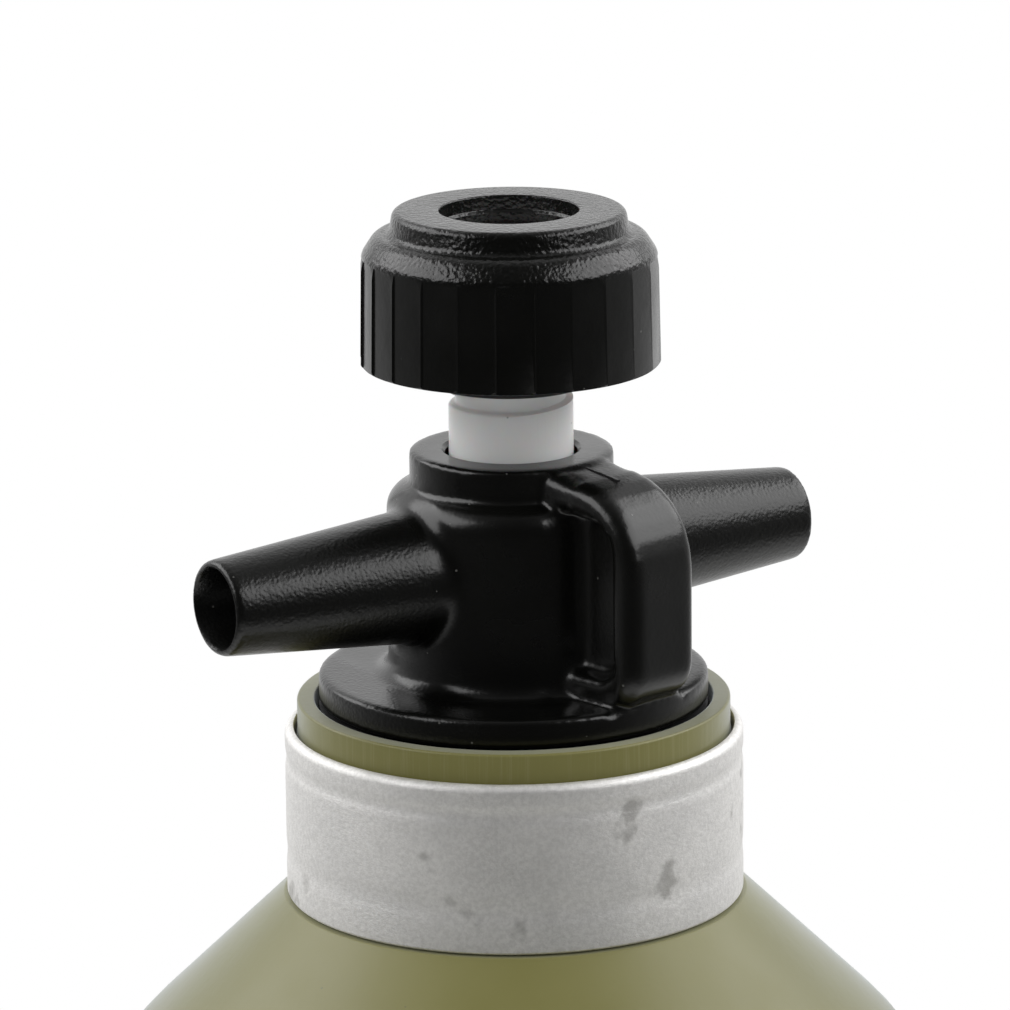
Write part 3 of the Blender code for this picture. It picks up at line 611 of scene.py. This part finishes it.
groove_height, groove_half = -12.4, 0.6
plug = turned("plug", rounded(
    (0, plug_foot, 0), (plug_radius, plug_foot, 0.4), (plug_radius, flange_under + 0.6, 0),
    (0, flange_under + 0.6, 0)), sides=128)
cap_crest = 14.2
combine(plug, "UNION", ridge("cap_thread", plug_radius - 0.5, cap_crest, cap_thread_foot + cap_pitch / 2, 0,
                             cap_pitch, cap_turns - 0.5, base=1.2, tip=0.7))
seat_bore, seat_ceiling, chamber_floor, chamber_radius = 5.2, 0.3, 7.6, 6.8
gland_foot, gland_top, gland_radius, guide_bore = 14.9, 17.8, 7.3, 5.45
hollow = turned("hollow", rounded(
    (0, plug_foot - 1, 0), (plug_bore + 1, plug_foot - 1, 0), (plug_bore, plug_foot + 0.4, 0.1),
    (plug_bore, groove_height - groove_half, 0), (plug_bore + 0.65, groove_height - groove_half, 0.1),
    (plug_bore + 0.65, groove_height + groove_half, 0.1), (plug_bore, groove_height + groove_half, 0),
    (plug_bore, seat_ceiling, 0.5), (seat_bore + 1.1, seat_ceiling, 0.2),
    (seat_bore + 0.4, seat_ceiling - 0.5, 0.2), (seat_bore, seat_ceiling - 0.3, 0),
    (seat_bore, chamber_floor, 0.1), (chamber_radius, chamber_floor, 0.4), (chamber_radius, gland_foot, 0),
    (gland_radius, gland_foot, 0), (gland_radius, gland_top, 0.2), (guide_bore, gland_top, 0.1),
    (guide_bore, collar_top - 0.3, 0), (guide_bore + 0.4, collar_top + 0.1, 0),
    (guide_bore + 0.4, collar_top + 1, 0), (0, collar_top + 1, 0)), sides=96)
keyway_foot, keyway_half = 3.0, 1.1
keyway = slab("keyway", [(4, keyway_foot), (6, keyway_foot), (6, chamber_floor + 1), (4, chamber_floor + 1)],
              keyway_half, math.pi / 2)
combine(valve, "UNION", plug)
combine(valve, "DIFFERENCE", hollow, keyway)
for side, reach in spout_ends.items():
    bore = turned("spout_bore", rounded(
        (0, 3.0, 0), (spout_bore + 0.35, 3.0, 0), (spout_bore, reach - 0.3, 0),
        (spout_bore + 0.3, reach + 0.1, 0), (spout_bore + 0.3, reach + 1, 0), (0, reach + 1, 0)), sides=96)
    lay_along_x(bore, side, spout_height)
    combine(valve, "DIFFERENCE", bore)


def on_spouts(tree, place):
    """The spouts are grained, and the barrel, the ear, the collar and the flange only a little."""
    parts = add(tree, "SeparateXYZ", {"Vector": place})
    reach = add(tree, "Math", {0: parts.outputs["X"]}, operation="ABSOLUTE").outputs[0]
    return blend_range(tree, reach, 10.0 * MM, 11.5 * MM, 0.35, 1.0)


VALVE_BLACK = black_moulding("black_valve_moulding", on_spouts, 3400.0, 0.000022, 0.28)
settle(valve, VALVE_BLACK, "valve", "valve_body", sharp=40)

# ---------------------------------------------------------------------------------------- stem
# Milky white acetal stem: a thread that runs out on the shank's shoulder, a polished sealing shank
# and a cross-shaped foot whose front arm runs in the body's keyway.


def white_acetal():
    """Milky acetal, a little translucent, with faint turning marks round the axis."""
    paint, tree, shader = new_material("white_acetal", Subsurface_Weight=0.25, Subsurface_Scale=0.0012,
                                       Specular_IOR_Level=0.5)
    place = add(tree, "TexCoord", {}).outputs["Object"]
    cloud = add(tree, "TexNoise", {"Vector": place, "Scale": 200.0, "Detail": 3.0}).outputs[0]
    colour = mixed(tree, cloud, (0.79, 0.79, 0.785, 1), (0.84, 0.84, 0.83, 1))
    dust = specks(tree, place, 1700.0, 0.01)
    colour = mixed(tree, add(tree, "Math", {0: dust, 1: 0.6}, operation="MULTIPLY").outputs[0], colour,
                   (0.25, 0.25, 0.24, 1))
    tree.links.new(colour, shader.inputs["Base Color"])
    tree.links.new(blend_range(tree, cloud, 0.3, 0.7, 0.28, 0.36), shader.inputs["Roughness"])
    marks_place = add(tree, "Mapping", {"Vector": place, "Scale": (30, 30, 7000)}).outputs[0]
    marks = add(tree, "TexNoise", {"Vector": marks_place, "Scale": 1.0, "Detail": 2.0}).outputs[0]
    bump = add(tree, "Bump", {"Height": marks, "Strength": 1.0, "Distance": 0.000003})
    tree.links.new(bump.outputs[0], shader.inputs["Normal"])
    return paint


def block(name, low, high):
    """Box between two corners."""
    size = [b - a for a, b in zip(low, high)]
    middle = [(a + b) / 2 for a, b in zip(low, high)]
    bpy.ops.mesh.primitive_cube_add(size=1, location=middle)
    piece = bpy.context.object
    piece.name = name
    only(piece)
    piece.scale = size
    bpy.ops.object.transform_apply(location=True, rotation=False, scale=True)
    return piece


WHITE = white_acetal()
stem_top = (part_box("valve_stem")[1].z - mouth) / MM
spigot_end = (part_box("valve_stem")[0].z - mouth) / MM
stem_core, thread_shoulder, thread_height, stem_pitch = 4.55, 24.85, 25.2, 2.0
shank_foot, arm_foot, arm_reach, arm_half = 14.2, -0.2, 4.8, 0.8
key_reach, key_foot, key_top = 5.6, 5.6, 8.8

stem = turned("stem", rounded(
    (0, shank_foot, 0), (stem_radius, shank_foot, 0.4), (stem_radius, thread_shoulder, 0.35),
    (stem_core, thread_shoulder + 0.15, 0.2), (stem_core, stem_top, 0.4), (0, stem_top, 0)), sides=128)
# The ridge starts inside the shoulder and climbs out of it, so that it runs out as a cut thread does.
run_out = 0.6
stem_turns = 6.25
combine(stem, "UNION", ridge("stem_thread", stem_core - 0.4, stem_radius,
                             thread_height - stem_pitch * run_out, -math.tau * run_out, stem_pitch,
                             stem_turns + run_out, base=1.0, tip=0.45))
for arm in (
    block("arms", (-arm_reach, -arm_half, arm_foot), (arm_reach, arm_half, shank_foot + 1)),
    block("keyed_arms", (-arm_half, -arm_reach, arm_foot), (arm_half, arm_reach, shank_foot + 1)),
    block("key", (-arm_half, arm_reach - 1, key_foot), (arm_half, key_reach, key_top)),
):
    soften(arm, 0.2, segments=2)
    combine(stem, "UNION", arm)
spigot_radius, core_radius, pilot_radius = 2.0, 2.6, 1.45
spigot = turned("spigot", rounded(
    (0, spigot_end, 0), (spigot_radius, spigot_end, 0.25), (spigot_radius, arm_foot, 0),
    (core_radius, arm_foot, 0), (core_radius, shank_foot + 1, 0), (0, shank_foot + 1, 0)), sides=64)
combine(stem, "UNION", spigot)
pilot = turned("pilot", [(0, spigot_end - 1), (pilot_radius, spigot_end - 1), (pilot_radius, 6), (0, 7)], 48)
combine(stem, "DIFFERENCE", pilot)
settle(stem, WHITE, "stem", "valve_stem", sharp=35)

# ---------------------------------------------------------------------------------------- knob
# Black moulded nut: a skirt with 24 flat facets, each deepest at one edge, a grained shoulder, a
# waist and a flat top with an open centre. Underneath it is cored around a threaded hub.

knob_top = (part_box("knob")[1].z - mouth) / MM
knob_foot = (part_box("knob")[0].z - mouth) / MM
knob_radius, shoulder_radius, top_radius = 12.35, 12.05, 9.5
knob_bore, hub_radius, facets, facet_depth = 5.45, 7.7, 24, 0.16
facet_width, facet_lean, hole_radius = 0.96, 0.985, 5.7
ledge_height = 37.15
waist_radius, waist_height = 9.85, 39.0
facet_phase = math.radians(8)

knob = turned("ribbed_knob", rounded(
    (knob_bore, knob_foot, 0.1), (hub_radius, knob_foot, 0.4), (hub_radius, knob_top - 3.6, 0.5),
    (10.4, knob_top - 3.6, 0.5), (10.7, knob_foot, 0.25), (knob_radius, knob_foot, 0.35),
    (knob_radius - 0.05, 35.5, 2), (shoulder_radius, 37.4, 1.4), (11.0, waist_height, 1.2),
    (waist_radius, waist_height, 0.6), (top_radius, knob_top, 0.6),
    (hole_radius, knob_top, 0.15), (hole_radius, knob_top - 1.2, 0.1), (knob_bore, knob_top - 1.4, 0.05),
    degrees=9), sides=192)
knob_crest, knob_turns = 4.85, 4.0
combine(knob, "UNION", ridge("knob_thread", knob_bore + 0.4, knob_crest, thread_height + 2.5 * stem_pitch, 0,
                             stem_pitch, knob_turns, base=1.0, tip=0.45))
# The facets are cut by a ring with a saw-tooth inside, which leans in a little at the ledge.
bpy.ops.mesh.primitive_circle_add(vertices=2 * facets, radius=1)
cutter = bpy.context.object
only(cutter)
for i, vertex in enumerate(cutter.data.vertices):
    tooth, shallow = divmod(i, 2)
    angle = facet_phase + (tooth + facet_width * shallow) * math.tau / facets
    reach = knob_radius + 0.02 if shallow else knob_radius - facet_depth
    vertex.co = (reach * math.cos(angle), reach * math.sin(angle), knob_foot - 1)
bpy.ops.object.mode_set(mode="EDIT")
bpy.ops.mesh.select_all(action="SELECT")
bpy.ops.mesh.extrude_region_move()
bpy.ops.transform.resize(value=(1.2, 1.2, 1), center_override=(0, 0, 0))
bpy.ops.mesh.select_all(action="SELECT")
bpy.ops.mesh.extrude_region_move(TRANSFORM_OT_translate={"value": (0, 0, ledge_height - knob_foot + 1)})
bpy.ops.transform.resize(value=(facet_lean, facet_lean, 1), center_override=(0, 0, 0))
bpy.ops.mesh.select_all(action="SELECT")
bpy.ops.mesh.normals_make_consistent(inside=False)
bpy.ops.object.mode_set(mode="OBJECT")
combine(knob, "DIFFERENCE", cutter)


def above_facets(tree, place):
    """The knob is grained above its facets, alike on the shoulder, the waist and the top."""
    height = add(tree, "SeparateXYZ", {"Vector": place}).outputs["Z"]
    return blend_range(tree, height, mouth + 36.9 * MM, mouth + 37.4 * MM, 0.1, 1.0)


KNOB_BLACK = black_moulding("black_knob_moulding", above_facets, 3000.0, 0.000052, 0.22)
settle(knob, KNOB_BLACK, "knob", "knob", sharp=25)

# ---------------------------------------------------------------------------------------- inner parts
# What hangs inside the plug: head, washer and screw at the stem's foot, the return spring, and the
# white cage that holds the spring and is itself held by a snap ring.


def stainless():
    """Stainless steel with a fine drawn grain."""
    paint, tree, shader = new_material("stainless_steel", Metallic=1.0)
    place = add(tree, "TexCoord", {}).outputs["Object"]
    drawn = add(tree, "TexNoise", {"Vector": place, "Scale": 1800.0, "Detail": 4.0}).outputs[0]
    tree.links.new(mixed(tree, drawn, (0.50, 0.49, 0.48, 1), (0.66, 0.65, 0.64, 1)),
                   shader.inputs["Base Color"])
    tree.links.new(blend_range(tree, drawn, 0.3, 0.7, 0.22, 0.36), shader.inputs["Roughness"])
    bump = add(tree, "Bump", {"Height": drawn, "Strength": 1.0, "Distance": 0.000003})
    tree.links.new(bump.outputs[0], shader.inputs["Normal"])
    return paint


def flat_ring(name, bore, radius, foot, top, edge):
    """Flat ring with its four edges broken."""
    return turned(name, rounded((bore, foot, edge), (radius, foot, edge), (radius, top, edge),
                                (bore, top, edge)))


STEEL = stainless()

gland = flat_ring("gland_washer", 5.47, 7.05, 15.1, 15.7, 0.1)
settle(gland, WHITE, "valve", "gland_ring")

head = turned("seal_head", rounded(
    (spigot_bore, -4.3, 0.1), (4.6, -4.3, 0.1), (4.6, -5.1, 0.1), (5.2, -5.1, 0.1), (5.2, -3.6, 0.15),
    (7.8, -3.6, 0.2), (7.8, -2.3, 0.2), (spigot_bore, -2.3, 0.1)))
settle(head, WHITE, "stem", "valve_head")

washer = flat_ring("screw_washer", 1.6, 4.2, -5.2, -4.6, 0.08)
settle(washer, STEEL, "stem", "seal_washer")

screw_radius, under_head, head_radius = 1.15, -5.5, 3.1
screw = turned("pan_head_screw", rounded(
    (0, 4.4, 0), (0, -7.7, 0), (2.6, -7.5, 0.9), (head_radius, under_head, 0.15),
    (screw_radius, under_head, 0.1), (screw_radius, 3.4, 0)), sides=64)
combine(screw, "UNION", ridge("screw_thread", 0.9, 1.35, -4.0, 0, 0.7, 9.5, base=0.4, tip=0.08))
for turn in (0, math.pi / 2):
    recess = [(-1.6, -8.2), (1.6, -8.2), (0.9, -6.7), (-0.9, -6.7)]
    combine(screw, "DIFFERENCE", slab("recess", recess, 0.28, turn))
settle(screw, STEEL, "stem", "head_screw")

seat = flat_ring("spring_washer", 4.6, 7.6, -14.4, -13.85, 0.08)
settle(seat, STEEL, "valve", "spring_seat")

spring_low, spring_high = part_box("return_spring")
spring_wire, spring_mean, coils, points_each = 0.45, 6.2, 6.5, 24
rise = (spring_high.z - spring_low.z) / MM - 2 * spring_wire
closed_rise = (2 * spring_wire + 0.12) * 0.75
closed_share = 0.75 / coils
bpy.ops.curve.primitive_bezier_circle_add(radius=1)
path = bpy.context.object
path.name = "coil_spring"
path.data.splines.clear()
line = path.data.splines.new("POLY")
line.points.add(round(coils * points_each))
for i, point in enumerate(line.points):
    share = i / (len(line.points) - 1)
    if share < closed_share:
        height = closed_rise * share / closed_share
    elif share > 1 - closed_share:
        height = rise - closed_rise * (1 - share) / closed_share
    else:
        height = closed_rise + (rise - 2 * closed_rise) * (share - closed_share) / (1 - 2 * closed_share)
    turn = math.tau * coils * share
    point.co = (spring_mean * math.cos(turn), spring_mean * math.sin(turn),
                (spring_low.z - mouth) / MM + spring_wire + height, 1)
path.data.bevel_depth = spring_wire
path.data.bevel_resolution = 4
path.data.use_fill_caps = True
only(path)
bpy.ops.object.convert(target="MESH")
spring = bpy.context.object
settle(spring, STEEL, "valve", "return_spring")
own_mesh(spring)

cage = turned("spring_cage", rounded(
    (3.4, -15.9, 0.2), (12.8, -15.9, 0.3), (12.8, -14.8, 0.2), (10.65, -14.8, 0.1), (10.65, -13.0, 0.1),
    (10.0, -13.0, 0.1), (10.0, -11.8, 0.1), (10.65, -11.8, 0.1), (10.65, -1.2, 0.15), (9.3, -1.2, 0.15),
    (9.3, -14.7, 0.4), (3.4, -14.7, 0.1)), sides=128)
for turn in (math.pi / 4, math.pi * 3 / 4):
    window_half, window_foot, window_top = 3.6, -10.6, -3.4
    window = slab("window", rounded((-14, window_foot, 0), (14, window_foot, 0), (14, window_top, 0),
                                    (-14, window_top, 0)), window_half, turn)
    soften(window, 0.8, segments=3)
    combine(cage, "DIFFERENCE", window)
settle(cage, WHITE, "valve", "valve_cage")

clip = flat_ring("snap_ring", 10.3, 11.35, -12.7, -12.1, 0.1)
combine(clip, "DIFFERENCE", slab("gap", [(9, -14), (13, -14), (13, -11), (9, -11)], 1.2, math.pi * 0.8))
settle(clip, STEEL, "valve", "cage_clip")

bpy.ops.object.select_all(action="DESELECT")
